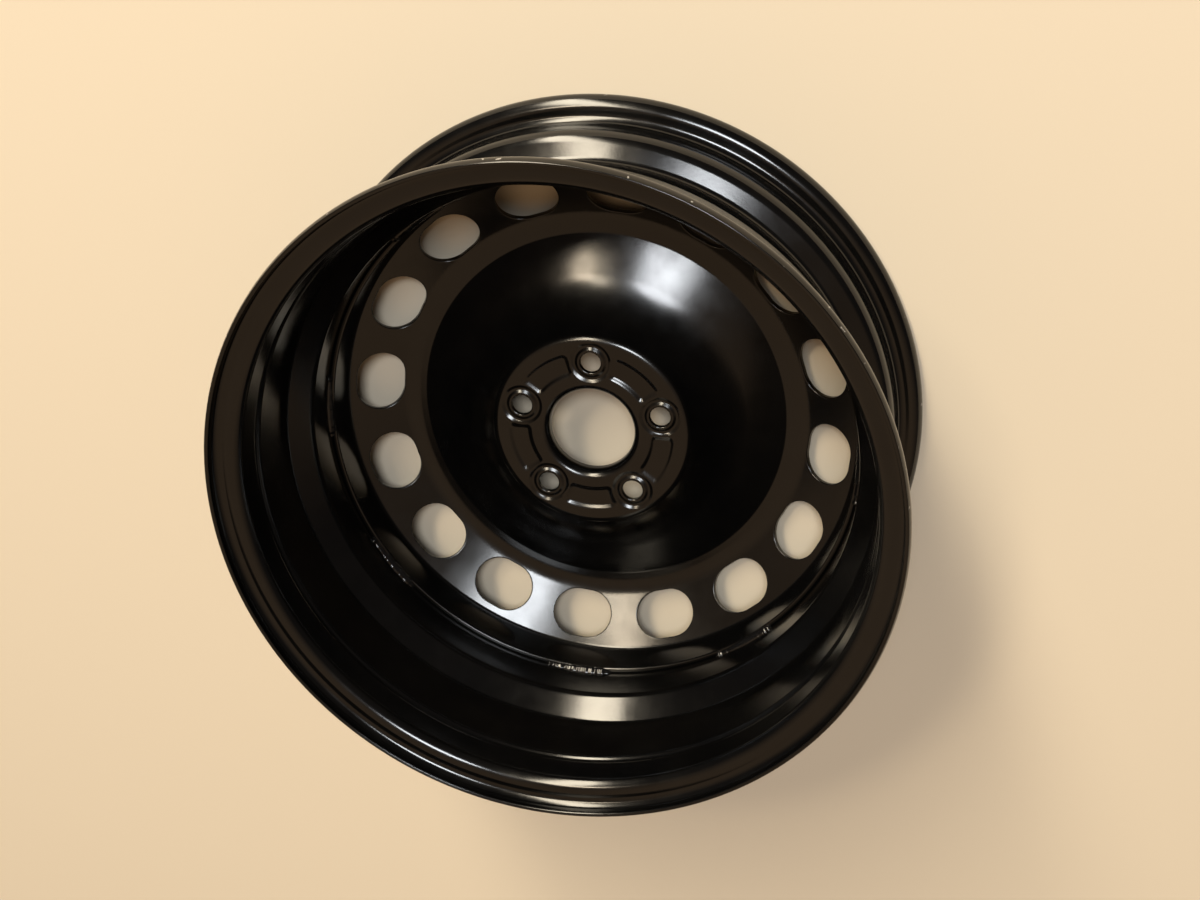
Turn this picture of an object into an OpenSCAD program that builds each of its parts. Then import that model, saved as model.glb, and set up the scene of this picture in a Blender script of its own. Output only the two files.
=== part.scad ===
// Pressed steel road wheel: a rolled drop-centre rim, a pressed disc seated in the rim's well,
// and the weld beads that join them. Millimetres. The origin is the centre of the hub mounting
// face, and +Z points from that face towards the vehicle, so the wheel lies on its street side.

/* [Rim] */
// Diameter of the bead seats at the flanges
bead_seat_d = 436.6; // [425:0.1:450]
// Width between the two flange faces that hold the tyre
rim_width = 165.1; // [152.4:0.1:178]
// Distance from the hub mounting face to the middle of the rim
rim_offset = 45; // [42:0.5:48]
// Thickness of the rim sheet
rim_sheet = 2.8; // [2.4:0.1:3.2]
// Height of the flanges above the bead seats
flange_height = 17.3; // [16.5:0.1:18.5]
// Radius of the curl on the tyre's side of a flange
flange_curl_r = 9.5; // [9:0.1:10]
// Angle that the curl goes on past its top
flange_curl_past = 30; // [15:1:45]
// Straight length at the end of the curl
flange_lip = 1.2; // [0.6:0.1:2.5]
// Radius of the corner between a flange and its bead seat
flange_root_r = 6.5; // [5:0.1:7]
// Slope of the bead seats
bead_seat_slope = 5; // [4:0.5:6]
// Distance from the vehicle-side flange face to the crest of its safety hump
inner_hump_place = 25; // [23:0.1:26]
// Width of the vehicle-side hump
inner_hump_w = 7; // [7:0.1:9]
// Height of the vehicle-side hump above the bead seat
inner_hump_height = 2.2; // [1.8:0.1:2.4]
// Inside radius of the bends of the vehicle-side hump
inner_hump_bend_r = 2.4; // [2:0.1:2.6]
// Distance from the street-side flange face to the crest of its safety hump
outer_hump_place = 21.5; // [20:0.1:24]
// Width of the street-side hump
outer_hump_w = 12; // [11:0.1:14]
// Height of the street-side hump above the bead seat
outer_hump_height = 1.5; // [1:0.1:2]
// Inside radius of the bends of the street-side hump
outer_hump_bend_r = 7; // [5:0.1:7.2]
// Distance from the vehicle-side flange face to the edge of the drop centre
ledge_end = 69.5; // [60:0.5:75]
// Fall of the ledge between the hump and that edge
ledge_fall = 2; // [1:0.1:4]
// Depth of the drop centre below the bead seat
well_depth = 18.5; // [17.5:0.1:21]
// Slope of the drop centre's wall on the vehicle's side
well_slope_inner = 42; // [35:1:55]
// Slope of the drop centre's wall on the street side
well_slope_outer = 60; // [50:1:65]
// Inside radius of the bends of the drop centre
well_bend_r = 5; // [3:0.5:7]
// Inside radius of the bend between the street-side hump and the drop centre
ledge_bend_r = 7.5; // [5:0.5:8]

/* [Valve hole] */
// Diameter of the hole for the tyre valve
valve_hole_d = 11.3; // [10:0.1:12]
// Place of the valve hole round the rim
valve_angle = 258.75; // [0:0.25:360]

/* [Disc] */
// Thickness of the disc sheet
disc_sheet = 4; // [3.5:0.1:4.8]
// Width of the band in which the disc's flange is seated in the drop centre
seat_w = 13; // [11:0.5:18]
// Radius of the corner at the flange's free edge
flange_edge_r = 1.5; // [0.5:0.1:1.8]
// Slope of the ring that carries the vent holes
vent_slope = 31; // [28:0.5:34]
// Radius at which the vent ring meets the crown
crown_outer_r = 151; // [148.5:0.5:153]
// Radius at which the crown meets the hat
crown_inner_r = 138; // [134:0.5:139]
// Depth of the crown below the hub mounting face
crown_depth = 42; // [41:0.5:44]
// Radius at which the hub pad's wall would meet the hat without a bend
wall_foot_r = 88.5; // [88:0.5:91]
// Depth at which the hub pad's wall would meet the hat without a bend
wall_foot_depth = 22; // [20:0.5:22.5]
// Radius of the hub pad, where its face meets its wall
pad_r = 71; // [70.5:0.5:71.5]
// Inside radius of the bend at the edge of the hub pad
pad_bend_r = 4; // [3:0.5:5]
// Inside radius of the wide bend between the pad's wall and the hat
wall_bend_r = 88; // [40:1:90]
// Inside radius of the bend between the hat and the crown
crown_bend_r = 5; // [3:0.5:8]
// Inside radius of the bend between the crown and the vent ring
vent_bend_r = 26; // [12:0.5:27]
// Inside radius of the bend between the vent ring and the flange
flange_bend_r = 4; // [3:0.5:6]

/* [Centre bore] */
// Diameter of the bore that centres the wheel on the hub
bore_d = 63.4; // [60:0.1:67.1]
// Length of the bore's drawn collar, from the hub mounting face
bore_collar = 12; // [10:0.5:14]
// Inside radius of the bend into the collar
bore_bend_r = 3.5; // [2:0.1:4]

/* [Bolt holes] */
// Number of bolt holes
bolt_count = 5; // [4:1:6]
// Diameter of the bolt circle
bolt_circle_d = 108; // [105:0.5:110]
// Diameter of a bolt hole
bolt_hole_d = 15; // [13:0.1:16]
// Radius of the rounded edge of a bolt hole
bolt_edge_r = 1.2; // [0.5:0.1:1.4]
// Radius of the ring groove round a bolt hole
bolt_groove_ring_r = 11.9; // [11.6:0.1:12]
// Radius of the round cutter that shapes that groove
bolt_groove_r = 2.4; // [2.2:0.1:2.5]
// Depth of the ring groove
bolt_groove_depth = 1.2; // [0.8:0.1:1.3]
// Height of the boss round a bolt hole on the street side
bolt_boss_height = 4; // [3:0.1:4.4]
// Width of the boss outside the seat
bolt_boss_rim = 2.5; // [2:0.1:3]
// Angle of the conical bolt seat
bolt_seat_angle = 60; // [55:1:65]
// Length of the plain hole under the seat
bolt_land = 3.2; // [2.6:0.1:3.6]

/* [Pad recesses] */
// Inner radius of the recesses between the bolt holes
recess_inner_r = 44.8; // [44:0.1:47]
// Outer radius of the recesses
recess_outer_r = 61.8; // [60:0.1:63]
// Depth of the recesses
recess_depth = 2; // [1:0.1:2.2]
// Gap between a recess and the groove round a bolt hole
recess_gap = 1.5; // [1:0.1:3]

/* [Vent holes] */
// Number of vent holes
vent_count = 16; // [12:1:18]
// Length of a vent hole round the wheel
vent_l = 46; // [40:0.5:48]
// Width of a vent hole across the ring
vent_w = 37; // [33:0.5:38]
// Distance from the flange's inner face to the middle of the holes, across the wheel
vent_inset = 20.9; // [20.5:0.1:23]

/* [Weld beads] */
// Number of pairs of weld beads
weld_pairs = 4; // [3:1:5]
// Angle between the two beads of a pair
weld_pair_angle = 40; // [30:1:45]
// Angle that one bead covers
weld_angle = 14; // [8:1:18]
// Leg of a bead along the disc's edge and along the rim
weld_leg = 3.4; // [2.5:0.1:3.8]
// Distance of the bead's centre of curvature behind the corner that it fills
weld_sink = 1.6; // [0.5:0.1:2.5]

/* [Hidden] */
$fn = 96;
// Largest turn between two points of a bend, in degrees
bend_step = 10;
// Overlap of a cutter past the face it opens
past = 1;

// Rim values
bead_r = bead_seat_d / 2;
rim_half = rim_sheet / 2;
curl_r = flange_curl_r - rim_half;
root_r = flange_root_r + rim_half;
inner_hump_foot = inner_hump_place + inner_hump_w / 2;
outer_hump_foot = outer_hump_place + outer_hump_w / 2;
inner_hump_bend = inner_hump_bend_r + rim_half;
outer_hump_bend = outer_hump_bend_r + rim_half;
well_r = bead_r - well_depth - rim_half;
well_inner_r = well_r - rim_half;
well_bend = well_bend_r + rim_half;
face_inner_z = rim_offset + rim_width / 2;
face_outer_z = rim_offset - rim_width / 2;
ledge_start_r = seat_r(inner_hump_foot);
ledge_end_r = ledge_start_r - ledge_fall;
ledge_outer_r = seat_r(outer_hump_foot);
well_inner_x = ledge_end + (ledge_end_r - well_r) / tan(well_slope_inner);
well_outer_x = outer_hump_foot + (ledge_outer_r - well_r) / tan(well_slope_outer);
well_outer_z = face_outer_z + well_outer_x;

// Disc values
disc_half = disc_sheet / 2;
bore_r = bore_d / 2;
disc_flange_r = well_inner_r - disc_half;
disc_flange_inner_r = well_inner_r - disc_sheet;
disc_edge_z = well_outer_z + seat_w;
crown_z = -crown_depth - disc_half;
vent_root_z = crown_z + (disc_flange_r - crown_outer_r) * tan(vent_slope);
vent_circle_r = disc_flange_inner_r - vent_inset;
vent_z = crown_z + (vent_circle_r - crown_outer_r) * tan(vent_slope);

// Bolt values
bolt_circle_r = bolt_circle_d / 2;
bolt_hole_r = bolt_hole_d / 2;
boss_z = -disc_sheet - bolt_boss_height;
seat_height = disc_sheet + bolt_boss_height - bolt_land;
seat_mouth_r = bolt_hole_r + seat_height * tan(bolt_seat_angle / 2);
boss_r = seat_mouth_r + bolt_boss_rim;
boss_flank = bolt_boss_height + disc_half;
groove_reach = bolt_groove_ring_r + bolt_groove_r + recess_gap;
recess_margin = asin(groove_reach / bolt_circle_r);
recess_sweep = 360 / bolt_count - 2 * recess_margin;

// Weld values: the circle that shapes a bead passes through the ends of both legs
weld_reach = weld_leg + weld_sink;
weld_r = sqrt(weld_reach * weld_reach + weld_sink * weld_sink);
// Step between a bead and its rounded end
weld_end_step = 0.2;

// Middle radius of the rim sheet on a bead seat, at a distance from the flange face
function seat_r(x) = bead_r - x * tan(bead_seat_slope) - rim_half / cos(bead_seat_slope);

// Plane vectors: unit length, a quarter turn to the left, and a turn by an angle
function unit(v) = v / norm(v);
function left(v) = [-v[1], v[0]];
function turned(v, a) = [v[0] * cos(a) - v[1] * sin(a), v[0] * sin(a) + v[1] * cos(a)];
function place(c) = [c[0], c[1]];

// Points of one bend of a sheet, at a distance to the left of its middle line.
// Corners are [radius, height, bend radius of the middle line].
function bend(before, corner, after, shift) =
    let(
        u = unit(place(corner) - place(before)),
        w = unit(place(after) - place(corner)),
        turn = atan2(cross(u, w), u * w),
        side = sign(turn),
        start = place(corner) - u * corner[2] * tan(abs(turn) / 2),
        centre = start + side * corner[2] * left(u),
        arm = side * (corner[2] - side * shift) * left(u),
        steps = max(2, ceil(abs(turn) / bend_step))
    )
    [for (i = [0:steps]) centre - turned(arm, turn * i / steps)];

// One side of a sheet that follows a list of corners
function side(corners, shift) =
    let(
        last = len(corners) - 1,
        u = unit(place(corners[1]) - place(corners[0])),
        w = unit(place(corners[last]) - place(corners[last - 1]))
    )
    concat(
        [place(corners[0]) + shift * left(u)],
        [for (i = [1:last - 1]) each bend(corners[i - 1], corners[i], corners[i + 1], shift)],
        [place(corners[last]) + shift * left(w)]
    );

function backwards(list) = [for (i = [len(list) - 1:-1:0]) list[i]];

// Section of a sheet of a given thickness round its middle line
module sheet_section(corners, thickness) {
    polygon(concat(side(corners, thickness / 2), backwards(side(corners, -thickness / 2))));
}

// Corners of one flange, its bead seat and hump. face is the flange face's height, and out is
// 1 on the vehicle's side and -1 on the street side. The hump has a place, a width, a height and
// a bend radius.
function flange_corners(face, out, hump_place, hump_w, hump_height, hump_bend) =
    let(
        middle = face + out * rim_half,
        seat_end = hump_place - hump_w / 2,
        tangent = curl_r * tan((90 + flange_curl_past) / 2),
        curl_corner_r = bead_r + flange_height - flange_curl_r + tangent,
        lip = tangent + flange_lip
    )
    [
        [
            curl_corner_r - lip * sin(flange_curl_past),
            middle + out * lip * cos(flange_curl_past),
            0
        ],
        [curl_corner_r, middle, curl_r],
        [seat_r(-rim_half), middle, root_r],
        [seat_r(seat_end), face - out * seat_end, hump_bend],
        [seat_r(hump_place) + hump_height, face - out * hump_place, hump_bend]
    ];

inner_flange = flange_corners(
    face_inner_z, 1, inner_hump_place, inner_hump_w, inner_hump_height, inner_hump_bend
);
outer_flange = flange_corners(
    face_outer_z, -1, outer_hump_place, outer_hump_w, outer_hump_height, outer_hump_bend
);

// Corners of the drop centre, from the vehicle's side to the street side
drop_centre = [
    [ledge_start_r, face_inner_z - inner_hump_foot, inner_hump_bend],
    [ledge_end_r, face_inner_z - ledge_end, well_bend],
    [well_r, face_inner_z - well_inner_x, well_bend],
    [well_r, well_outer_z, well_bend],
    [ledge_outer_r, face_outer_z + outer_hump_foot, ledge_bend_r + rim_half]
];

// Corners of the disc, from the end of the bore's collar to the edge of its flange
disc_corners = [
    [bore_r + disc_half, -bore_collar, 0],
    [bore_r + disc_half, -disc_half, bore_bend_r + disc_half],
    [pad_r, -disc_half, pad_bend_r + disc_half],
    [wall_foot_r, -wall_foot_depth - disc_half, wall_bend_r + disc_half],
    [crown_inner_r, crown_z, crown_bend_r + disc_half],
    [crown_outer_r, crown_z, vent_bend_r + disc_half],
    [disc_flange_r, vent_root_z, flange_bend_r + disc_half],
    [disc_flange_r, disc_edge_z, 0]
];

// Copies its children at every bolt hole
module at_bolts() {
    for (i = [0:bolt_count - 1])
        rotate([0, 0, i * 360 / bolt_count])
            translate([bolt_circle_r, 0, 0])
                children();
}

// Ring sectors of the pad's recesses, with flanks at 45 degrees. They go down from a face of the
// sheet by the recess's depth, and up from it by a reach.
module recess_rings(face, reach) {
    floor_z = face - recess_depth;
    for (i = [0:bolt_count - 1])
        rotate([0, 0, i * 360 / bolt_count + recess_margin])
            rotate_extrude(angle = recess_sweep)
                polygon([
                    [recess_inner_r - reach, face + reach],
                    [recess_outer_r + reach, face + reach],
                    [recess_outer_r - recess_depth, floor_z],
                    [recess_inner_r + recess_depth, floor_z]
                ]);
}

// Cuts made for one bolt: the hole with its conical seat, its rounded edge and the ring groove
module bolt_cut() {
    mouth_z = boss_z - past;
    mouth_r = seat_mouth_r + past * tan(bolt_seat_angle / 2);
    rotate_extrude()
        polygon([
            [0, past], [bolt_hole_r, past], [bolt_hole_r, -bolt_land], [mouth_r, mouth_z], [0, mouth_z]
        ]);
    rotate_extrude()
        difference() {
            translate([0, -bolt_edge_r])
                square([bolt_hole_r + bolt_edge_r, bolt_edge_r + past]);
            translate([bolt_hole_r + bolt_edge_r, -bolt_edge_r])
                circle(r = bolt_edge_r);
        }
    rotate_extrude()
        translate([bolt_groove_ring_r, bolt_groove_r - bolt_groove_depth])
            circle(r = bolt_groove_r);
}

// Oval of one vent hole: two round ends joined by straight sides
module vent_shape() {
    straight = vent_l - vent_w;
    square([vent_w, straight], center = true);
    for (end = [-1, 1])
        translate([0, end * straight / 2])
            circle(d = vent_w);
}

// Cutters of the vent holes, square to the vent ring
module vent_cuts() {
    depth = 4 * disc_sheet;
    for (i = [0:vent_count - 1])
        rotate([0, 0, i * 360 / vent_count])
            translate([vent_circle_r, 0, vent_z])
                rotate([0, -vent_slope, 0])
                    linear_extrude(height = depth, center = true)
                        vent_shape();
}

// Cutter that rounds the inner corner of the disc's free edge
module edge_cut() {
    rotate_extrude()
        difference() {
            translate([disc_flange_inner_r - past, disc_edge_z - flange_edge_r])
                square([past + flange_edge_r, flange_edge_r + past]);
            translate([disc_flange_inner_r + flange_edge_r, disc_edge_z - flange_edge_r])
                circle(r = flange_edge_r);
        }
}

module rim() {
    hole_x = (outer_hump_foot + well_outer_x) / 2;
    hole_r = (ledge_outer_r + well_r) / 2;
    color([0.03, 0.03, 0.035])
        difference() {
            rotate_extrude()
                sheet_section(concat(inner_flange, drop_centre, backwards(outer_flange)), rim_sheet);
            rotate([0, 0, valve_angle])
                translate([hole_r, 0, face_outer_z + hole_x])
                    rotate([0, 90 - well_slope_outer, 0])
                        cylinder(d = valve_hole_d, h = 4 * rim_sheet, center = true);
        }
}

module disc() {
    color([0.03, 0.03, 0.035])
        difference() {
            union() {
                rotate_extrude()
                    sheet_section(disc_corners, disc_sheet);
                at_bolts()
                    translate([0, 0, boss_z])
                        cylinder(r1 = boss_r, r2 = boss_r + boss_flank, h = boss_flank);
                recess_rings(-disc_sheet, disc_half / 2);
            }
            recess_rings(0, past);
            at_bolts()
                bolt_cut();
            vent_cuts();
            edge_cut();
        }
}

// Round bar along the corner between the disc's edge and the rim, with ball ends
module weld_bar() {
    centre_r = well_inner_r + weld_sink;
    centre_z = disc_edge_z - weld_sink;
    rotate([0, 0, -weld_angle / 2])
        rotate_extrude(angle = weld_angle)
            translate([centre_r, centre_z])
                circle(r = weld_r);
    for (end = [-1, 1])
        rotate([0, 0, end * weld_angle / 2])
            translate([centre_r, 0, centre_z])
                sphere(r = weld_r - weld_end_step);
}

module weld_beads() {
    reach = 2 * weld_r;
    color([0.04, 0.04, 0.045])
        for (pair = [0:weld_pairs - 1])
            for (half = [-1, 1])
                rotate([0, 0, pair * 360 / weld_pairs + half * weld_pair_angle / 2])
                    intersection() {
                        weld_bar();
                        translate([0, 0, disc_edge_z])
                            cylinder(r = well_inner_r, h = reach);
                    }
}

rim();
disc();
weld_beads();
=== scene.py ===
# %% [markdown]
# # A pressed steel wheel
# A steel wheel is two pieces of sheet and some weld. The rim is a strip that was rolled into a
# ring and given its section between rollers. The disc was drawn from flat sheet in a press, then
# pierced. The disc's flange is pushed into the rim, and eight short welds hold it there. In the
# end the whole wheel is dipped in black paint.
#
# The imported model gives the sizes. It is loaded first, and it stays where it is. Where the
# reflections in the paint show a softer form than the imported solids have, the text says so.

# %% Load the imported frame
import math

import bpy
import numpy as np
from mathutils import Matrix, Vector


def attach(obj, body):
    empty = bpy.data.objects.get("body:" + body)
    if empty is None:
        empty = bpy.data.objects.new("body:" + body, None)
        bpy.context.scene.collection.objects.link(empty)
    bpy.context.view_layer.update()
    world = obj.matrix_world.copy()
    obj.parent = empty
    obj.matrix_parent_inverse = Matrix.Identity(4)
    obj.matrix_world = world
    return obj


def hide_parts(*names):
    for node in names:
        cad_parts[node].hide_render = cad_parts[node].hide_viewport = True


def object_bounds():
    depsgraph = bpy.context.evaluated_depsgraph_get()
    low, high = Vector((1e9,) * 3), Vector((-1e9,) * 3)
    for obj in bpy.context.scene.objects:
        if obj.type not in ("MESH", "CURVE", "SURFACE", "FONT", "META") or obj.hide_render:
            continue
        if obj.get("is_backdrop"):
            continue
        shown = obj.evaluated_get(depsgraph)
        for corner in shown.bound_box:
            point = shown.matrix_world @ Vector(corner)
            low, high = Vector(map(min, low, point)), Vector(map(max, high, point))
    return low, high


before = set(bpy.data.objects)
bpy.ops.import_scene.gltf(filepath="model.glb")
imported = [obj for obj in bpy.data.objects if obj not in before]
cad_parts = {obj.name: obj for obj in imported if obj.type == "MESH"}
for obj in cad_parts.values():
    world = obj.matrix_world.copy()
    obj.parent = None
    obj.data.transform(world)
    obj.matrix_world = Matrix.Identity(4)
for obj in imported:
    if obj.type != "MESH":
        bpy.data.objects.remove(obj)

packed_box = [list(corner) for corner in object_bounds()]
print("packed model from", packed_box[0], "to", packed_box[1])

# %% [markdown]
# ## A line of sheet
# Both pressings are turned shapes, so one line in the plane of radius and height describes each
# of them. A pressed sheet has straight runs joined by round bends. The line is written down as
# corners, each with its place and the radius of its bend, and the helper below draws the arcs.
# Blender's bevel could round a chain of points too, but it doesn't tell how long the line is up
# to each point, and the holes need that length later on.

# %% A line from corners and bends
def unit(v):
    return v / np.linalg.norm(v)


def left_of(v):
    return np.array([-v[1], v[0]])


def sheet_line(corners, turn_step):
    """Lengths, radii, heights and headings along a line of [radius, height, bend] corners."""
    spots = np.array([corner[:2] for corner in corners], float)
    ways = [unit(b - a) for a, b in zip(spots, spots[1:])]
    heading = math.atan2(ways[0][1], ways[0][0])
    rows = [(0.0, *spots[0], heading)]
    for way, onward, corner in zip(ways, ways[1:], corners[1:]):
        turn = math.atan2(way[0] * onward[1] - way[1] * onward[0], way @ onward)
        bend = corner[2]
        start = np.array(corner[:2]) - way * bend * math.tan(abs(turn) / 2)
        length = rows[-1][0] + np.linalg.norm(start - rows[-1][1:3])
        rows.append((length, *start, heading))
        arm = -math.copysign(bend, turn) * left_of(way)
        steps = max(2, math.ceil(abs(turn) / math.radians(turn_step)))
        for k in range(1, steps + 1):
            part = turn * k / steps
            c, s = math.cos(part), math.sin(part)
            swung = np.array([arm[0] * c - arm[1] * s, arm[0] * s + arm[1] * c])
            rows.append((length + bend * abs(part), *(start - arm + swung), heading + part))
        heading += turn
    last = rows[-1][0] + np.linalg.norm(spots[-1] - rows[-1][1:3])
    rows.append((last, *spots[-1], heading))
    return np.array(rows).T


# Largest turn between two points of a bend, in degrees: for measuring, and for rows of quads
FINE, COARSE = 1.0, 6.5
elbow = sheet_line([[0, 0, 0], [10, 0, 4], [10, 10, 0]], FINE)
print("a 10 by 10 mm elbow with a 4 mm bend is %.2f mm long" % elbow[0][-1])

# %% [markdown]
# ## The rim's section
# From the vehicle's side to the street side, the rim has a curled flange, a bead seat with a low
# hump that keeps the tyre on it, a ledge, the deep drop centre that lets a tyre go on, and then
# the same seat and flange again, mirrored. It could be traced as one free curve, but rollers make
# straight runs and round bends, so a short list of corners is nearer to the real thing.
#
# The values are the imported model's, in millimetres, and the line runs in the middle of the sheet.
# Two of them differ a little. The flange is 0.05 mm lower, so that the dressed rim stays inside
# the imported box. The drop centre's wall on the street side is turned by 6 degrees about its
# middle, because its reflections in the photo look that steep.

# %% Corners of the rim
RIM_SHEET = 2.8
BEAD_R, SEAT_SLOPE = 218.3, math.radians(5)
FACES = (127.55, -37.55)
FLANGE_HEIGHT, CURL_R, CURL_PAST, LIP = 17.25, 9.5, math.radians(30), 1.2
ROOT_R = 6.5
INNER_HUMP = {"place": 25.0, "width": 7.0, "height": 2.2, "bend": 2.4}
OUTER_HUMP = {"place": 21.5, "width": 12.0, "height": 1.5, "bend": 7.0}
LEDGE_END, LEDGE_FALL, LEDGE_BEND = 69.5, 2.0, 7.5
WELL_DEPTH, WELL_BEND = 18.5, 5.0
WELL_SLOPES = (math.radians(42), math.radians(60))
WALL_LEAN = math.radians(6)

rim_half = RIM_SHEET / 2


def seat_r(x):
    """Radius of the sheet's middle on a bead seat, at a distance from the flange face."""
    return BEAD_R - x * math.tan(SEAT_SLOPE) - rim_half / math.cos(SEAT_SLOPE)


def hump_foot(hump):
    return hump["place"] + hump["width"] / 2


def flange_corners(face, out, hump):
    """Corners of one flange, its bead seat and hump. out is 1 on the vehicle's side, else -1."""
    middle = face + out * rim_half
    curl = CURL_R - rim_half
    tangent = curl * math.tan((math.pi / 2 + CURL_PAST) / 2)
    curl_r = BEAD_R + FLANGE_HEIGHT - CURL_R + tangent
    reach = tangent + LIP
    foot = hump["place"] - hump["width"] / 2
    bend = hump["bend"] + rim_half
    return [
        [curl_r - reach * math.sin(CURL_PAST), middle + out * reach * math.cos(CURL_PAST), 0],
        [curl_r, middle, curl],
        [seat_r(-rim_half), middle, ROOT_R + rim_half],
        [seat_r(foot), face - out * foot, bend],
        [seat_r(hump["place"]) + hump["height"], face - out * hump["place"], bend],
    ]


ledge_r = seat_r(hump_foot(INNER_HUMP))
ledge_end_r = ledge_r - LEDGE_FALL
wall_top_r = seat_r(hump_foot(OUTER_HUMP))
wall_top_z = FACES[1] + hump_foot(OUTER_HUMP)
well_r = BEAD_R - WELL_DEPTH - rim_half
well_bend = WELL_BEND + rim_half
well_top_z = FACES[0] - LEDGE_END - (ledge_end_r - well_r) / math.tan(WELL_SLOPES[0])
well_low_z = wall_top_z + (wall_top_r - well_r) / math.tan(WELL_SLOPES[1])
wall_slope = WELL_SLOPES[1] + WALL_LEAN
wall_shift = (well_low_z - wall_top_z - (wall_top_r - well_r) / math.tan(wall_slope)) / 2
drop_centre = [
    [ledge_r, FACES[0] - hump_foot(INNER_HUMP), INNER_HUMP["bend"] + rim_half],
    [ledge_end_r, FACES[0] - LEDGE_END, well_bend],
    [well_r, well_top_z, well_bend],
    [well_r, well_low_z - wall_shift, well_bend],
    [wall_top_r, wall_top_z + wall_shift, LEDGE_BEND + rim_half],
]
inner_flange = flange_corners(FACES[0], 1, INNER_HUMP)
outer_flange = flange_corners(FACES[1], -1, OUTER_HUMP)
rim_corners = inner_flange + drop_centre + outer_flange[::-1]
rim_line = sheet_line(rim_corners, FINE)
print("the rim's strip is %.1f mm wide before rolling" % rim_line[0][-1])

# %% [markdown]
# ## From a line to a surface
# A sheet is a surface with two coordinates: the length along the line, and the angle round the
# wheel. A third number, the shift, tells how far a point lies from the middle of the sheet. With
# such a function, a hole or a dent is placed on a cone as easily as on a flat. Directions come
# from small steps on the same function, so the shading follows every dent by itself.

# %% Surface helpers
STEP_MM, STEP_RAD = 0.02, 0.0002


def turned_surface(line):
    """The surface that a line gives when it is turned round the wheel's axis."""
    lengths, radii, heights, headings = line

    def surface(s, angle, shift):
        heading = np.interp(s, lengths, headings)
        r = np.interp(s, lengths, radii) - shift * np.sin(heading)
        z = np.interp(s, lengths, heights) + shift * np.cos(heading)
        return np.stack([r * np.cos(angle), r * np.sin(angle), z], axis=-1)

    return surface


def directions(surface, s, angle, shift):
    """Unit directions along the line, round the wheel and square to the sheet."""
    along = surface(s + STEP_MM, angle, shift) - surface(s - STEP_MM, angle, shift)
    round_ = surface(s, angle + STEP_RAD, shift) - surface(s, angle - STEP_RAD, shift)
    along /= np.linalg.norm(along, axis=-1, keepdims=True)
    round_ /= np.linalg.norm(round_, axis=-1, keepdims=True)
    square = np.cross(along, round_)
    return along, round_, square / np.linalg.norm(square, axis=-1, keepdims=True)


rim_surface = turned_surface(rim_line)
print("first point of the rim:", np.round(rim_surface(0.0, 0.0, 0.0), 2))

# %% [markdown]
# ## Rows of quads
# Every piece is knitted from rows of points. Two neighbouring rows give a band of quads, and
# where bands meet, their points fall on each other and are joined. Each point brings its own
# normal, so wide flats stay flat in the mirror of gloss paint and tight bends stay round. A bevel
# and smooth shading would get near this, but long thin quads then shade like cushions.
#
# Points are joined by their rounded place. A tiny shift before the rounding keeps round numbers,
# such as the height of a flat, away from the border between two roundings.

# %% Knit rows into a piece
MM = 0.001
JOIN_DIGITS, JOIN_SHIFT = 4, 0.000017


class Knit:
    """Collects bands of quads and joins them into one closed mesh."""

    def __init__(self):
        self.points, self.normals, self.quads, self.count = [], [], [], 0

    def band(self, points, normals, closed, keep=None):
        """Adds a grid of points [row, place, xyz]. keep marks the quads that are made."""
        rows, places = points.shape[:2]
        index = self.count + np.arange(rows * places).reshape(rows, places)
        onward = np.roll(index, -1, axis=1)
        quads = np.stack([index[:-1], index[1:], onward[1:], onward[:-1]], axis=-1)
        if not closed:
            quads = quads[:, :-1]
        self.quads.append(quads[keep] if keep is not None else quads.reshape(-1, 4))
        self.points.append(points.reshape(-1, 3))
        self.normals.append(normals.reshape(-1, 3))
        self.count += rows * places

    def piece(self, name):
        """Makes the mesh, and counts the edges that don't lie between two quads."""
        points = np.concatenate(self.points)
        normals = np.concatenate(self.normals)
        quads = np.concatenate(self.quads)
        places = np.round(points + JOIN_SHIFT, JOIN_DIGITS)
        _, first, joined = np.unique(places, axis=0, return_index=True, return_inverse=True)
        quads = joined.reshape(-1)[quads]
        used, quads = np.unique(quads, return_inverse=True)
        quads = quads.reshape(-1, 4)
        faces = [list(dict.fromkeys(quad)) for quad in quads.tolist()]
        mesh = bpy.data.meshes.new(name)
        mesh.from_pydata((points[first][used] * MM).tolist(), [], faces)
        mesh.polygons.foreach_set("use_smooth", np.ones(len(quads), bool))
        mesh.normals_split_custom_set_from_vertices(normals[first][used].tolist())
        mesh.update()
        edges = np.sort(np.stack([quads, np.roll(quads, -1, axis=1)], axis=-1).reshape(-1, 2))
        edges = edges[edges[:, 0] != edges[:, 1]]
        uses = np.unique(edges, axis=0, return_counts=True)[1]
        print(name, "has", len(quads), "quads,", int((uses != 2).sum()), "open edges")
        made = bpy.data.objects.new(name, mesh)
        bpy.context.scene.collection.objects.link(made)
        return made


print("points are joined where they agree to", 10.0**-JOIN_DIGITS, "mm")

# %% [markdown]
# ## Once round a sheet
# A sheet has two faces and two edges, which the cutting and the paint have rounded. The rows run
# over one face, round the edge, back over the other face and round the other edge. Blender's
# Solidify gives thickness too, but square edges, and an edge is where gloss paint glints most.

# %% Rows round a sheet
EDGE_TURN = 18
ROUND = 240
QUAD_ANGLE = 2 * math.pi / ROUND


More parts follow.
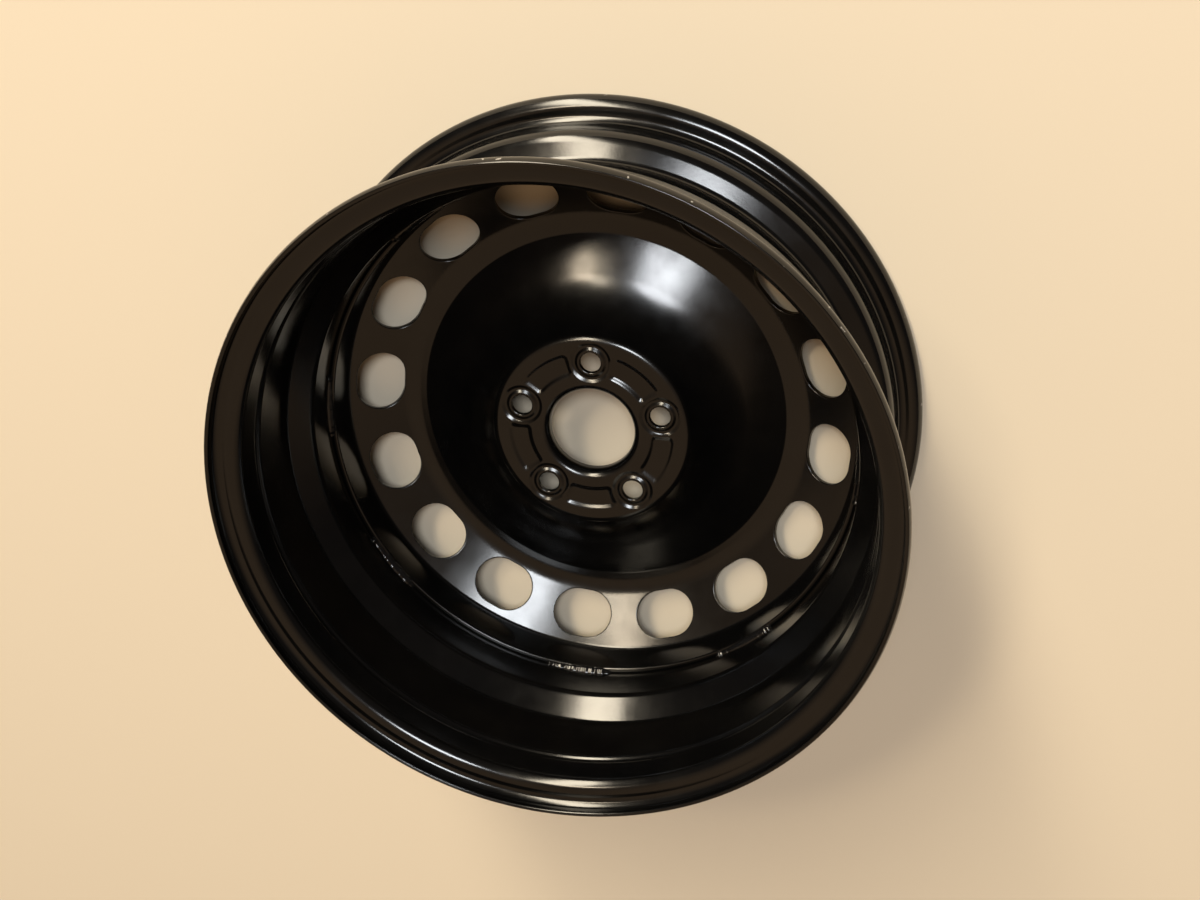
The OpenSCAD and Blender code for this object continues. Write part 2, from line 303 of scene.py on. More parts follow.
def around_sheet(corners, half, edge):
    """Rows [length, shift, lean] that go once round a sheet with rounded edges."""
    lengths = sheet_line(corners, COARSE)[0]
    end = lengths[-1]
    far, deep = end - edge, half - edge
    lengths = np.concatenate([[edge], lengths[1:-1], [far]])
    quarter = np.radians(np.arange(EDGE_TURN, 90, EDGE_TURN))
    arc = np.stack([np.sin(quarter), np.cos(quarter), quarter], axis=-1)
    rows = [(s, half, 0.0) for s in lengths]
    rows += [(far + edge * a, deep + edge * b, lean) for a, b, lean in arc]
    rows += [(end, deep, math.pi / 2), (end, -deep, math.pi / 2)]
    rows += [(far + edge * b, -deep - edge * a, math.pi / 2 + lean) for a, b, lean in arc]
    rows += [(s, -half, math.pi) for s in lengths[::-1]]
    rows += [(edge - edge * a, -deep - edge * b, math.pi + lean) for a, b, lean in arc]
    rows += [(0.0, -deep, 1.5 * math.pi), (0.0, deep, 1.5 * math.pi)]
    rows += [(edge - edge * b, deep + edge * a, 1.5 * math.pi + lean) for a, b, lean in arc]
    rows.append(rows[0])
    return np.array(rows)


def sheet_grid(surface, rows, angles):
    """Points and normals of rows [length, shift, lean] at every angle."""
    s, shift, lean = (np.repeat(column[:, None], len(angles), axis=1) for column in rows.T)
    angle = np.repeat(angles[None, :], len(rows), axis=0)
    along, _, square = directions(surface, s, angle, shift)
    normals = np.cos(lean)[..., None] * square + np.sin(lean)[..., None] * along
    return surface(s, angle, shift), normals


angles = (np.arange(ROUND) + 0.5) * QUAD_ANGLE
print("one quad spans %.2f degrees" % (360 / ROUND))

# %% [markdown]
# ## Punching a hole
# A boolean cut would leave long slivers round a hole, and gloss paint shows each of them. So a
# hole gets a patch of its own. Rings of points start at the patch's border on one face of the
# sheet, run in to the hole, through it along the hole's own little section, and out again on the
# other face. The outline is drawn on the cone as if it had been unrolled flat.

# %% A patch of sheet with a hole through it
def border(rows, turns):
    """Points of a patch's border, as lengths and angles, counterclockwise."""
    low, high = rows[0], rows[-1]
    return np.concatenate([
        [(high, t) for t in turns[:-1]],
        [(s, turns[-1]) for s in rows[:0:-1]],
        [(low, t) for t in turns[:0:-1]],
        [(s, turns[0]) for s in rows[:-1]],
    ])


def hole_patch(surface, half, spot, outline, outward, section, edge, layers):
    """Rings of points and normals of one hole. spot is (length, angle, radius, cosine of slope)."""
    length, angle, radius, cosine = spot
    flat_r = radius / cosine
    rings = []
    for _, away, shift, heading in section.T:
        flat = outline + away * outward
        far = np.hypot(flat_r + flat[:, 0], flat[:, 1])
        swing = np.arctan2(flat[:, 1], flat_r + flat[:, 0]) / cosine
        rings.append((length + far - flat_r, angle + swing, np.full(len(flat), shift), heading))
    points, normals = [], []
    for s, a, shift, heading in rings:
        along, round_, square = directions(surface, s, a, shift)
        out = outward[:, :1] * along + outward[:, 1:] * round_
        points.append(surface(s, a, shift))
        normals.append(math.cos(heading) * square - math.sin(heading) * out)
    for ring, side in ((rings[0], -1), (rings[-1], 1)):
        fringe = []
        for part in np.linspace(0, 1, layers + 1)[1:]:
            s = ring[0] + part * (edge[:, 0] - ring[0])
            a = ring[1] + part * (edge[:, 1] - ring[1])
            shift = np.full(len(s), side * half)
            fringe.append((surface(s, a, shift), side * directions(surface, s, a, shift)[2]))
        if side < 0:
            fringe = fringe[::-1]
            points = [p for p, _ in fringe] + points
            normals = [n for _, n in fringe] + normals
        else:
            points += [p for p, _ in fringe]
            normals += [n for _, n in fringe]
    return np.array(points), np.array(normals)


def punched(reach, half, bend, turn_step):
    """Section of a plain hole with rounded edges, from a reach on one face to the other face."""
    corners = [[reach, -half, 0], [0, -half, bend], [0, half, bend], [reach, half, 0]]
    return sheet_line(corners, turn_step)


def oval(straight, radius, count, start):
    """Points and outward directions of an oval that is longer round the wheel than across it."""
    total = 2 * math.pi * radius + 2 * straight
    far = (start + np.arange(count) / count) * total
    far %= total
    quarter = math.pi * radius / 2
    points, outward = [], []
    for f in far:
        side = 1 if f < quarter + straight / 2 or f > total - quarter - straight / 2 else -1
        f = f if side > 0 else total / 2 - f
        f = f - total if f > total / 2 else f
        bent = math.copysign(max(0.0, abs(f) - straight / 2), f) / radius
        middle = max(-straight / 2, min(straight / 2, f))
        points.append((side * radius * math.cos(bent), middle + radius * math.sin(bent)))
        outward.append((side * math.cos(bent), math.sin(bent)))
    return np.array(points), np.array(outward)


print("four points of a 10 mm hole:", np.round(oval(0.0, 5.0, 4, 0.0)[0], 1).tolist())

# %% [markdown]
# ## The rim
# The ring is one band round the whole section. Only the valve hole interrupts it: it sits in the
# steep wall on the street side, where a valve leans out past the disc. There the band is left
# open over a few quads, and a punched patch fills the gap. Blender's Screw modifier could turn
# the section as well, but it leaves no gap.

# %% Knit the rim
LIP_EDGE = 0.9
VALVE_R, VALVE_ANGLE, VALVE_EDGE = 5.65, math.radians(258.75), 0.6
VALVE_FRINGE, VALVE_TURN, VALVE_LAYERS = 1.2, 22, 6
# Half of the patch, in quads round the wheel and in millimetres along the wall
VALVE_SPAN, VALVE_REACH = 4, 11
SEARCH_POINTS = 40000

rim_rows = around_sheet(rim_corners, rim_half, LIP_EDGE)
wall_r = (wall_top_r + well_r) / 2
wall_z = (wall_top_z + well_low_z) / 2
search_s = np.linspace(rim_line[0][0], rim_line[0][-1], SEARCH_POINTS)
from_wall = np.hypot(
    np.interp(search_s, rim_line[0], rim_line[1]) - wall_r,
    np.interp(search_s, rim_line[0], rim_line[2]) - wall_z,
)
valve_s = float(search_s[np.argmin(from_wall)])
near_valve = np.abs(rim_rows[:, 0] - valve_s) < VALVE_REACH
front = (rim_rows[:, 2] == 0) & near_valve
back = (rim_rows[:, 2] == math.pi) & near_valve
middle = int(VALVE_ANGLE / QUAD_ANGLE)

rim_knit = Knit()
points, normals = sheet_grid(rim_surface, rim_rows, angles)
keep = np.ones((len(rim_rows) - 1, ROUND), bool)
for wall in (front, back):
    inside = np.where(wall[:-1] & wall[1:])[0]
    keep[np.ix_(inside, np.arange(middle - VALVE_SPAN, middle + VALVE_SPAN))] = False
rim_knit.band(points, normals, True, keep)

edge = border(rim_rows[front, 0], angles[middle - VALVE_SPAN : middle + VALVE_SPAN + 1])
dots, rays = oval(0.0, VALVE_R, len(edge), -VALVE_SPAN / len(edge))
valve_section = punched(VALVE_FRINGE, rim_half, VALVE_EDGE, VALVE_TURN)
spot = (valve_s, VALVE_ANGLE, wall_r, math.sin(wall_slope))
patch = hole_patch(rim_surface, rim_half, spot, dots, rays, valve_section, edge, VALVE_LAYERS)
rim_knit.band(*patch, True)
rim = rim_knit.piece("rim_ring")

# %% [markdown]
# ## The disc's section
# From the bore outwards the disc is a short drawn collar, the flat pad that the hub presses on, a
# wall that runs out into a funnel-like hat, a narrow crown, the sloping ring with the vent holes,
# and the flange that sits in the rim's drop centre. Blender's Screw modifier could turn such a
# line too, but dents and holes need a surface that answers for any point.

# %% Corners of the disc
DISC_SHEET = 4.0
BORE_R, COLLAR = 31.7, 12.0
PAD_R, WALL_FOOT_R, WALL_FOOT_Z = 71.0, 88.5, -22.0
CROWN_R, CROWN_Z = (138.0, 151.0), -42.0
VENT_SLOPE, SEAT_W = math.radians(31), 13.0
BORE_BEND, PAD_BEND, WALL_BEND = 3.5, 4.0, 88.0
CROWN_BEND, VENT_BEND, FLANGE_BEND = 5.0, 26.0, 4.0

disc_half = DISC_SHEET / 2
flange_r = well_r - rim_half - disc_half
crown_z = CROWN_Z - disc_half
flange_z = crown_z + (flange_r - CROWN_R[1]) * math.tan(VENT_SLOPE)
disc_edge_z = well_low_z + SEAT_W
disc_corners = [
    [BORE_R + disc_half, -COLLAR, 0],
    [BORE_R + disc_half, -disc_half, BORE_BEND + disc_half],
    [PAD_R, -disc_half, PAD_BEND + disc_half],
    [WALL_FOOT_R, WALL_FOOT_Z - disc_half, WALL_BEND + disc_half],
    [CROWN_R[0], crown_z, CROWN_BEND + disc_half],
    [CROWN_R[1], crown_z, VENT_BEND + disc_half],
    [flange_r, flange_z, FLANGE_BEND + disc_half],
    [flange_r, disc_edge_z, 0],
]
disc_line = sheet_line(disc_corners, FINE)
print("the disc's line is %.1f mm long" % disc_line[0][-1])

# %% [markdown]
# ## Dents in the pad
# Between the bolt holes, the press has sunk shallow recesses into the pad, so that the hub rests
# on an inner and an outer ring. They are a small move of the turned surface. Their flanks are
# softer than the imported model's, and reach a little further. A displacement texture could make
# them as well, but then the normals would have to be guessed.

# %% The disc's surface with its recesses
BOLT_CIRCLE, BOLT_COUNT = 54.0, 5
RECESS_R, RECESS_DEPTH, RECESS_FLANK = (43.4, 63.2), 2.0, 5.0
# Angles from a recess's middle at which its end begins and reaches the floor
RECESS_SWEEP = (math.radians(21.5), math.radians(14.5))


def ease(low, high, x):
    """Goes smoothly from 0 to 1 while x goes from low to high."""
    part = np.clip((x - low) / (high - low), 0, 1)
    return part * part * (3 - 2 * part)


def recess(r, angle):
    """How deep a recess is at a place, from 0 on the pad to 1 on its floor."""
    pitch = 2 * math.pi / BOLT_COUNT
    from_middle = np.abs(angle - pitch * (np.floor(angle / pitch) + 0.5))
    across = ease(RECESS_R[0], RECESS_R[0] + RECESS_FLANK, r)
    across = across * ease(RECESS_R[1], RECESS_R[1] - RECESS_FLANK, r)
    return across * ease(*RECESS_SWEEP, from_middle)


def disc_surface(s, angle, shift):
    lengths, radii, heights, headings = disc_line
    heading = np.interp(s, lengths, headings)
    r = np.interp(s, lengths, radii)
    z = np.interp(s, lengths, heights) + shift * np.cos(heading) - RECESS_DEPTH * recess(r, angle)
    r = r - shift * np.sin(heading)
    return np.stack([r * np.cos(angle), r * np.sin(angle), z], axis=-1)


sunk = RECESS_DEPTH * recess(BOLT_CIRCLE, math.pi / BOLT_COUNT)
print("between two bolts the pad is sunk by", sunk, "mm")

# %% [markdown]
# ## Sections of the holes
# The vents are plain punched ovals. A bolt hole has more to it. On the hub side the photo shows a
# rounded mouth and a ring groove, which is a little wider and deeper here than in the packed
# model. On the street side, which the photo hides, is a boss with a conical seat for the bolt's
# head, as such wheels have it. Cones and rings could be joined on as pieces of their own, but it
# is one sheet, so one section runs through the hole from face to face.

# %% Sections of a bolt hole and a vent hole
BOLT_R, BOLT_REACH, LAND_Z = 7.5, 16.0, -1.2
BOSS_R, BOSS_HEIGHT, SEAT_MOUTH_R = (12.8, 15.2), 4.0, 10.3
GROOVE_R, GROOVE_DEPTH = (9.5, 11.7, 13.0, 15.5), 1.3
VENT_FRINGE, VENT_EDGE = 2.0, 0.9
HOLE_TURN = 20

boss_z = -disc_half - BOSS_HEIGHT
groove_z = disc_half - GROOVE_DEPTH
# Radius from the hole's middle, height and bend, from the street side to the hub side
bolt_profile = [
    [BOLT_REACH, -disc_half, 0],
    [BOSS_R[1], -disc_half, 0.5],
    [BOSS_R[0], boss_z, 0.7],
    [SEAT_MOUTH_R, boss_z, 0.7],
    [BOLT_R, LAND_Z, 0.6],
    [BOLT_R, disc_half, 1.2],
    [GROOVE_R[0], disc_half, 1.6],
    [GROOVE_R[1], groove_z, 1.3],
    [GROOVE_R[2], groove_z, 1.3],
    [GROOVE_R[3], disc_half, 1.6],
    [BOLT_REACH, disc_half, 0],
]
bolt_section = sheet_line([[r - BOLT_R, z, bend] for r, z, bend in bolt_profile], HOLE_TURN)
vent_section = punched(VENT_FRINGE, disc_half, VENT_EDGE, HOLE_TURN)
print("a bolt hole's section has", bolt_section.shape[1], "points, a vent's", vent_section.shape[1])

# %% [markdown]
# ## The disc's plain bands
# The collar, the hat, the crown and the flange have no holes, so they are a plain band round the
# section, as on the rim. The two belts with holes come later. The whole disc could be one band
# with holes cut into it, but its rows would miss the edges of the holes. So the band gets a row
# at each end of a belt and none inside, and the belts are joined to it there.

# %% Knit the disc's plain bands
FLANGE_EDGE = 1.5
FLANK_STEP = 0.9
VENT_R, VENT_REACH, VENT_ROWS = 172.1, (25.5, 22.5), 22
PAST_COLLAR = 0.1
SHEET_FACES = ((disc_half, 0), (-disc_half, math.pi))


def length_at(r):
    """Length along the disc's line at a radius, past the collar."""
    start = int(np.argmax(disc_line[1] > BORE_R + disc_half + PAST_COLLAR))
    return float(np.interp(r, disc_line[1][start:], disc_line[0][start:]))


# Radii of the rows on the pad, close together on the flanks of the recesses
pad_radii = [
    *(37.2, 38.2, 39.2, 41.0, 42.6),
    *np.arange(43.8, 48.9, FLANK_STEP),
    *(50.4, 53.3, 56.2),
    *np.arange(57.8, 63.5, FLANK_STEP),
    *(64.6, 66.4, 68.2, 69.2, 70.2, 71.0),
]
bolt_rows = np.array([length_at(r) for r in pad_radii])
vent_s = length_at(VENT_R)
vent_rows = np.linspace(vent_s - VENT_REACH[0], vent_s + VENT_REACH[1], VENT_ROWS)
belts = ((bolt_rows[0], bolt_rows[-1]), (vent_rows[0], vent_rows[-1]))
belt_ends = [(s, *face) for belt in belts for s in belt for face in SHEET_FACES]


def with_belts(rows):
    """The rows, with rows at the ends of each belt and none inside it."""
    kept = []
    for row, onward in zip(rows, rows[1:]):
        kept.append(row)
        if row[2] == onward[2] and row[1] == onward[1]:
            low, high = sorted((row[0], onward[0]))
            cuts = [end for end in belt_ends if end[2] == row[2] and low < end[0] < high]
            kept += sorted(cuts, key=lambda end: abs(end[0] - row[0]))
    kept.append(rows[-1])
    return np.array([row for row in kept if not any(a < row[0] < b for a, b in belts)])


rows = with_belts(around_sheet(disc_corners, disc_half, FLANGE_EDGE))
keep = np.ones((len(rows) - 1, ROUND), bool)
for k, (row, onward) in enumerate(zip(rows, rows[1:])):
    if any({row[0], onward[0]} == set(belt) for belt in belts):
        keep[k] = False
disc_knit = Knit()
disc_knit.band(*sheet_grid(disc_surface, rows, angles), True, keep)
print("the plain bands have", int(keep.sum()), "quads")

# %% [markdown]
# ## The belt of bolt holes
# The pad is a grid on both faces, with rows close enough to draw the recesses, and five windows
# in it. Patches with bolt holes fill the windows. Patches could cover the whole pad, but a grid
# has its rows along the flanks of the recesses, and that is where the glints are.

# %% Knit the belt of bolt holes
BOLT_SPAN, PATCH_LAYERS = 26, 5

per_bolt = ROUND // BOLT_COUNT
window = np.arange(BOLT_SPAN) - BOLT_SPAN // 2
keep = np.ones((len(bolt_rows) - 1, ROUND), bool)
for number in range(BOLT_COUNT):
    keep[:, (number * per_bolt + window) % ROUND] = False
for shift, lean in SHEET_FACES:
    lengths = bolt_rows if shift > 0 else bolt_rows[::-1]
    belt = np.array([(length, shift, lean) for length in lengths])
    disc_knit.band(*sheet_grid(disc_surface, belt, angles), True, keep)

for number in range(BOLT_COUNT):
    turns = (number * per_bolt + np.arange(BOLT_SPAN + 1) - BOLT_SPAN / 2 + 0.5) * QUAD_ANGLE
    edge = border(bolt_rows, turns)
    dots, rays = oval(0.0, BOLT_R, len(edge), -BOLT_SPAN / 2 / len(edge))
    spot = (length_at(BOLT_CIRCLE), number * 2 * math.pi / BOLT_COUNT, BOLT_CIRCLE, 1.0)
    patch = hole_patch(
        disc_surface, disc_half, spot, dots, rays, bolt_section, edge, PATCH_LAYERS
    )
    disc_knit.band(*patch, True)
print("each of the", BOLT_COUNT, "bolt patches has", patch[0].shape[0], "rings of", len(edge))

# %% [markdown]
# ## The belt of vent holes
# Sixteen ovals let air through to the brake. They stand so close together that a grid with
# windows, as on the pad, would leave only slivers between them. So sixteen patches side by side
# fill the whole belt.

# %% Knit the belt of vent holes
VENT_COUNT, VENT_HALF_W, VENT_STRAIGHT = 16, 18.5, 9.0

per_vent = ROUND // VENT_COUNT
for number in range(VENT_COUNT):
    middle = number * 2 * math.pi / VENT_COUNT
    turns = middle + (np.arange(per_vent + 1) - per_vent / 2) * QUAD_ANGLE
    edge = border(vent_rows, turns)
    dots, rays = oval(VENT_STRAIGHT, VENT_HALF_W, len(edge), -per_vent / 2 / len(edge))
    spot = (vent_s, middle, VENT_R, math.cos(VENT_SLOPE))
    patch = hole_patch(
        disc_surface, disc_half, spot, dots, rays, vent_section, edge, PATCH_LAYERS
    )
    disc_knit.band(*patch, True)
disc = disc_knit.piece("disc_pressing")

# %% [markdown]
# ## The weld beads
# Eight short beads fill the corner between the disc's edge and the rim, in four pairs. Each was
# laid in one go: it starts with a small blob, thins, swells, carries the ripples of the melt as
# they froze one by one, and ends in a small crater. A bead is knitted as a row of sections whose
# size changes along it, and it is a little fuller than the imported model's plain fillet. Sculpting
# it by hand would look as lively, but eight loops are easier to repeat.

# %% Knit the weld beads
WELD_PAIRS, WELD_PAIR_ANGLE = 4, math.radians(40)
BEAD_LENGTH, BEAD_LEG, BEAD_START, BEAD_END = 52.0, 3.9, 4.0, 5.0
BEAD_ROWS, BEAD_SIDES, BEAD_SWING = 150, 14, (-14, 104)
BEAD_THIN, BEAD_SWELL = 0.6, (8.0, 30.0)
BEAD_FLAT, BEAD_ROOT = 0.13, 0.25
# Height, place and width of the hills in a bead's size: two from its start, one from its end
BLOB, DIP = (0.34, 2.6, 1.5), (-0.12, 6.0, 1.6)
CRATER = (-0.24, 4.6, 1.3)
RIPPLE, RIPPLE_PITCH, RIPPLE_PEAK, RIPPLE_WOBBLE = 0.03, 2.1, 0.62, (0.35, 0.9)
# Height, pace along the bead and pace from bead to bead
LUMPS = ((0.04, 0.55, 2.3), (0.03, 1.3, 5.1))
SEED_STEP = 4.7
corner_r = well_r - rim_half


def hill(x, height, place, width):
    """A smooth hill, or a dip if its height is negative."""
    return height * np.exp(-(((x - place) / width) ** 2))


def bead_size(t, seed):
    """Leg of a bead at a distance from its start. The seed makes each bead differ."""
    from_end = BEAD_LENGTH - t
    ends = np.sqrt(np.clip(t / BEAD_START, 0, 1)) * np.sqrt(np.clip(from_end / BEAD_END, 0, 1))
    swell = BEAD_THIN + (1 - BEAD_THIN) * ease(*BEAD_SWELL, t)
    swell = swell + hill(t, *BLOB) + hill(t, *DIP) + hill(from_end, *CRATER)
    phase = t / RIPPLE_PITCH + RIPPLE_WOBBLE[0] * np.sin(RIPPLE_WOBBLE[1] * t + seed)
    ripple = RIPPLE * (1 - 2 * np.abs(phase % 1.0 - RIPPLE_PEAK))
    lumps = sum(height * np.sin(a * t + b * seed) for height, a, b in LUMPS)
    return BEAD_LEG * ends * (swell + ripple + lumps)


def bead_grid(middle, seed):
    """Rows of points round a bead, from its start to its end."""
    t = np.linspace(0, BEAD_LENGTH, BEAD_ROWS)
    size = bead_size(t, seed)[:, None]
    swing = np.radians(np.linspace(*BEAD_SWING, BEAD_SIDES))
    bulge = 1 - BEAD_FLAT * np.sin(2 * swing) ** 2
    root = BEAD_ROOT * size
    r = np.concatenate([corner_r - size * bulge * np.cos(swing), corner_r + root], axis=1)
    z = np.concatenate([disc_edge_z + size * bulge * np.sin(swing), disc_edge_z - root], axis=1)
    angle = (middle + (t - BEAD_LENGTH / 2) / corner_r)[:, None]
    return np.stack([r * np.cos(angle), r * np.sin(angle), z], axis=-1)


weld_knit = Knit()
for pair in range(WELD_PAIRS):
    for half in (-1, 1):
        middle = pair * 2 * math.pi / WELD_PAIRS + half * WELD_PAIR_ANGLE / 2
        points = bead_grid(middle, pair + SEED_STEP * half)
        onward = np.gradient(points, axis=0)
        sideways = np.roll(points, -1, axis=1) - np.roll(points, 1, axis=1)
        normals = np.cross(sideways, onward)
        normals /= np.maximum(np.linalg.norm(normals, axis=-1, keepdims=True), 1e-9)
        normals[[0, -1]] = normals[[1, -2]]
        weld_knit.band(points[::-1], normals[::-1], True)
welds = weld_knit.piece("weld_beads_painted")

# %% [markdown]
# ## Helpers for materials
# Materials are small networks of nodes. Three helpers cover what they share: a noise that sits on
# the piece, a change from one range of numbers to another, and a run between two colours. Images
# could carry the same marks, but a noise has no seams and is sharp from any distance.

# %% Node helpers
def noise(tree, scale, detail):
    """A noise that sits on the piece. The scale is in waves per metre."""
    node = tree.nodes.new("ShaderNodeTexNoise")
    node.inputs["Scale"].default_value = scale
    node.inputs["Detail"].default_value = detail
    place = tree.nodes.new("ShaderNodeTexCoord").outputs["Object"]
    tree.links.new(place, node.inputs["Vector"])
    return node.outputs["Fac"]


def ranged(tree, value, given, wanted):
    """Takes a value from a given range, low and high, to the wanted one."""
    node = tree.nodes.new("ShaderNodeMapRange")
    sockets = ("From Min", "From Max", "To Min", "To Max")
    for socket, number in zip(sockets, (*given, *wanted)):
        node.inputs[socket].default_value = number
    tree.links.new(value, node.inputs["Value"])
    return node.outputs["Result"]


def ramped(tree, value, given, colours):
    """Runs from one colour to another while a value goes through a given range."""
    node = tree.nodes.new("ShaderNodeValToRGB")
    for k in range(2):
        node.color_ramp.elements[k].position = given[k]
        node.color_ramp.elements[k].color = (*colours[k], 1)
    tree.links.new(value, node.inputs["Fac"])
    return node.outputs["Color"]


print("three node helpers are ready")

# %% [markdown]
# ## Black dip paint
# The wheel was dipped as a whole, so one paint covers everything. It is nearly black, and what
# one sees of it is its mirror: soft, a little uneven, with the faint skin of paint that ran and
# levelled. A noise drives the colour and the roughness by small amounts, and a finer one bumps
# the surface. On the edges of the flanges, a few small nicks show bare steel. They appear where a
# noise peaks, and only at the largest radius.

# %% The paint
PAINT_IOR = 1.5
CLOUDS, PATCHES, NICKS, SKIN = 35, 60, 160, 420
NOISE_MIDDLE, NICK_PEAK, NICK_SHARE = (0.3, 0.7), (0.69, 0.72), 0.8
SKIN_STRENGTH, SKIN_DEPTH = 0.35, 0.00003
EDGE_R = (0.2338, 0.2350)
BARE_STEEL = (0.42, 0.40, 0.37)


def with_nicks(tree, colour):
    """The colour, with bare steel in small nicks along the outer edges of the flanges."""
    flat = tree.nodes.new("ShaderNodeVectorMath")
    flat.operation = "MULTIPLY"
    flat.inputs[1].default_value = (1, 1, 0)
    tree.links.new(tree.nodes.new("ShaderNodeTexCoord").outputs["Object"], flat.inputs[0])
    radius = tree.nodes.new("ShaderNodeVectorMath")
    radius.operation = "LENGTH"
    tree.links.new(flat.outputs["Vector"], radius.inputs[0])
    at_edge = ranged(tree, radius.outputs["Value"], EDGE_R, (0, 1))
    peaks = ranged(tree, noise(tree, NICKS, 2), NICK_PEAK, (0, NICK_SHARE))
    worn = tree.nodes.new("ShaderNodeMath")
    worn.operation = "MULTIPLY"
    tree.links.new(at_edge, worn.inputs[0])
    tree.links.new(peaks, worn.inputs[1])
    bare = tree.nodes.new("ShaderNodeMix")
    bare.data_type = "RGBA"
    tree.links.new(worn.outputs["Value"], bare.inputs["Factor"])
    tree.links.new(colour, bare.inputs["A"])
    bare.inputs["B"].default_value = (*BARE_STEEL, 1)
    return bare.outputs["Result"]


def paint(name, blacks, gloss, nicked):
    """Black paint. A noise runs between the two blacks and between the two ends of gloss."""
    made = bpy.data.materials.new(name)
    made.use_nodes = True
    tree = made.node_tree
    shader = tree.nodes["Principled BSDF"]
    shader.inputs["IOR"].default_value = PAINT_IOR
    colour = ramped(tree, noise(tree, CLOUDS, 4), NOISE_MIDDLE, blacks)
    if nicked:
        colour = with_nicks(tree, colour)
    tree.links.new(colour, shader.inputs["Base Color"])
    roughness = ranged(tree, noise(tree, PATCHES, 5), NOISE_MIDDLE, gloss)
    tree.links.new(roughness, shader.inputs["Roughness"])
    bump = tree.nodes.new("ShaderNodeBump")
    bump.inputs["Strength"].default_value = SKIN_STRENGTH
    bump.inputs["Distance"].default_value = SKIN_DEPTH
    tree.links.new(noise(tree, SKIN, 2), bump.inputs["Height"])
    tree.links.new(bump.outputs["Normal"], shader.inputs["Normal"])
    print(name, "has", len(tree.nodes), "nodes")
    return made


BLACKS = ((0.0010, 0.0010, 0.0011), (0.0020, 0.0019, 0.0018))
WELD_BLACKS = ((0.0022, 0.0022, 0.0025), (0.0042, 0.0040, 0.0040))
rim_black = paint("black_on_rim", BLACKS, (0.13, 0.18), True)
disc_black = paint("black_on_disc", BLACKS, (0.16, 0.21), False)
weld_black = paint("black_on_welds", WELD_BLACKS, (0.08, 0.14), False)

# %% [markdown]
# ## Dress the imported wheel
# Nothing moves on a wheel, so all three pieces ride on the root body. Each stands for one node of
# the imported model. One slot could serve all three, but with a slot of its own each piece can be
# painted anew by itself.

# %% Paint the pieces and tie them to the frame
for piece, node, slot, black in (
    (rim, "rim", "rim_paint", rim_black),
    (disc, "disc", "disc_paint", disc_black),
    (welds, "weld_beads", "weld_paint", weld_black),
):
    piece.data.materials.append(black)
    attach(piece, "root")
    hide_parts(node)
    print(piece.name, "stands for", node, "and takes", slot)

# %% [markdown]
# ## The floor
# The wheel lies on its street side on a plain pale floor, as it comes to rest. The floor is one
# large plane with a warm, pale colour, and it shows through the holes. A curved backdrop could
# hide the horizon, but from the camera's view only the floor is in sight, so a plane is enough.

# %% The floor
FLOOR_SIZE = 12.0
FLOOR_COLOUR, FLOOR_ROUGHNESS = (0.62, 0.54, 0.42, 1), 0.7

floor_z = packed_box[0][2]
bpy.ops.mesh.primitive_plane_add(size=FLOOR_SIZE, location=(0, 0, floor_z))
floor = bpy.context.object
floor.name = "floor"
floor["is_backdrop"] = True
pale = bpy.data.materials.new("pale_floor")
pale.use_nodes = True
pale_shader = pale.node_tree.nodes["Principled BSDF"]
pale_shader.inputs["Base Color"].default_value = FLOOR_COLOUR
pale_shader.inputs["Roughness"].default_value = FLOOR_ROUGHNESS
floor.data.materials.append(pale)
print("floor at", round(floor_z, 4))

# %% [markdown]
# ## The lamps
# Black gloss is seen by what it mirrors. A soft cool lamp behind the camera gives the bright
# patch in the hat. A tall warm one at the side lights the vent ring and the barrel, and a small
# warm one above it lights the warmest part of the vent ring. All are oval, since a square lamp
# shows its corners in the paint. A lamp is set by the radiance that its mirror image has, and its
# power follows from its size.

# %% The lamps
CENTRE = Vector((0, 0, 0.045))
LAMP_DISTANCE = 5.0
COOL, WARM, WARMER = (0.92, 0.96, 1.0), (1.0, 0.88, 0.68), (1.0, 0.84, 0.62)


def towards(azimuth, elevation):
    a, e = math.radians(azimuth), math.radians(elevation)
    return Vector((math.cos(e) * math.cos(a), math.cos(e) * math.sin(a), math.sin(e)))


def lamp(name, azimuth, elevation, size, radiance, colour):
    """A soft oval lamp that faces the wheel. Radiance is what its mirror image shows."""
    way = towards(azimuth, elevation)
    area = math.pi / 4 * size[0] * size[1]
    data = bpy.data.lights.new(name, "AREA")
    data.shape = "ELLIPSE"
    data.size, data.size_y = size
    data.energy = radiance * math.pi * area
    data.color = colour
    made = bpy.data.objects.new(name, data)
    made.location = CENTRE + way * LAMP_DISTANCE
    made.rotation_euler = way.to_track_quat("Z", "Y").to_euler()
    bpy.context.scene.collection.objects.link(made)
    print(name, "of", round(data.energy, 1), "W at", [round(v, 2) for v in made.location])


lamp("cool_lamp", 53, 62, (1.50, 1.15), 32.0, COOL)
lamp("tall_warm_lamp", 93, 29, (1.05, 5.8), 24.0, WARM)
lamp("upper_warm_lamp", 105, 56, (0.75, 0.70), 28.0, WARMER)
bpy.context.scene.view_settings.view_transform = "Standard"

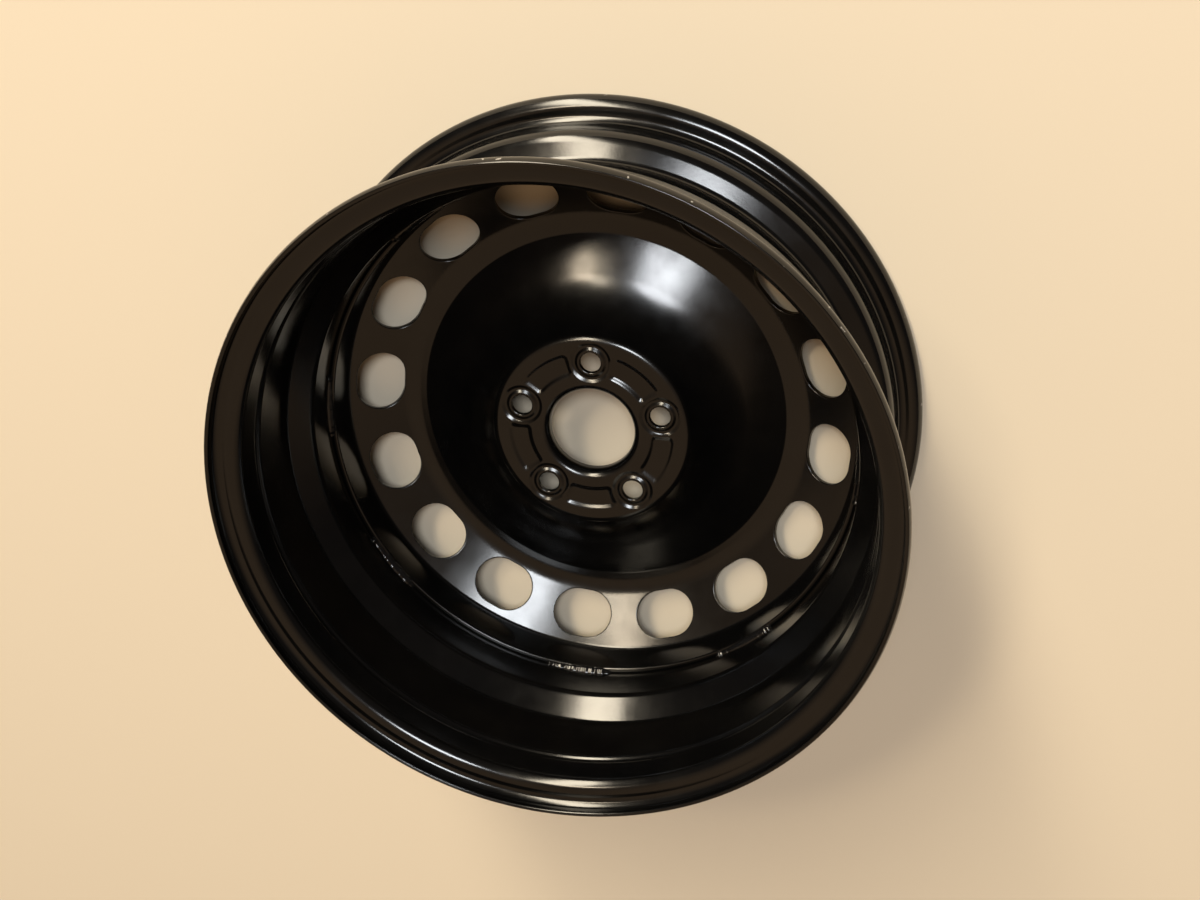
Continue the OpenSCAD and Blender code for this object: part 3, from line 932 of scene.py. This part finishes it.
# %% [markdown]
# ## The room
# Away from the lamps the paint mirrors the room. One side of it is warm and lifts the flats of
# the wheel, and the rest is dark, so the paint stays black. A large dim lamp could stand in for
# the warm side, but the world's colour fades more softly.

# %% The room
WARM_SIDE = towards(240, 45)
WARM_RANGE = (0.12, 0.75)
ROOM_COLOURS = ((0.060, 0.050, 0.045), (0.48, 0.32, 0.19))

world = bpy.data.worlds.new("room")
bpy.context.scene.world = world
world.use_nodes = True
room = world.node_tree
facing = room.nodes.new("ShaderNodeVectorMath")
facing.operation = "DOT_PRODUCT"
facing.inputs[1].default_value = WARM_SIDE
room.links.new(room.nodes.new("ShaderNodeTexCoord").outputs["Generated"], facing.inputs[0])
warmth = ranged(room, facing.outputs["Value"], WARM_RANGE, (0, 1))
room_colour = ramped(room, warmth, (0, 1), ROOM_COLOURS)
room.links.new(room_colour, room.nodes["Background"].inputs["Color"])
print("the room's warm side is at", [round(v, 2) for v in WARM_SIDE])

# %% [markdown]
# ## The camera
# A pinhole camera was fitted to the outlines of the two flanges in the photo, and its place,
# direction, roll and lens come from that fit. A constraint could aim the camera at the wheel, but
# the roll has to be right as well, so the camera gets a matrix of three turns and a move.

# %% The camera
LENS, SENSOR = 46.15, 36
CAMERA_PLACE = (0.3623, 0.3610, 0.9973)
AZIMUTH, ELEVATION, ROLL = (math.radians(v) for v in (46.29, 62.45, -151.43))

camera_data = bpy.data.cameras.new("camera")
camera_data.lens = LENS
camera_data.sensor_width = SENSOR
camera = bpy.data.objects.new("camera", camera_data)
camera.matrix_world = (
    Matrix.Translation(CAMERA_PLACE)
    @ Matrix.Rotation(AZIMUTH + math.pi / 2, 4, "Z")
    @ Matrix.Rotation(math.pi / 2 - ELEVATION, 4, "X")
    @ Matrix.Rotation(ROLL, 4, "Z")
)
bpy.context.scene.collection.objects.link(camera)
bpy.context.scene.camera = camera
print("camera at", CAMERA_PLACE)

# %% [markdown]
# ## Both sizes
# The dressed wheel is meant to be as large as the imported one. Both boxes are printed.

# %% Print the dressed box
dressed_box = [list(corner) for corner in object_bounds()]
print("dressed model from", dressed_box[0], "to", dressed_box[1])
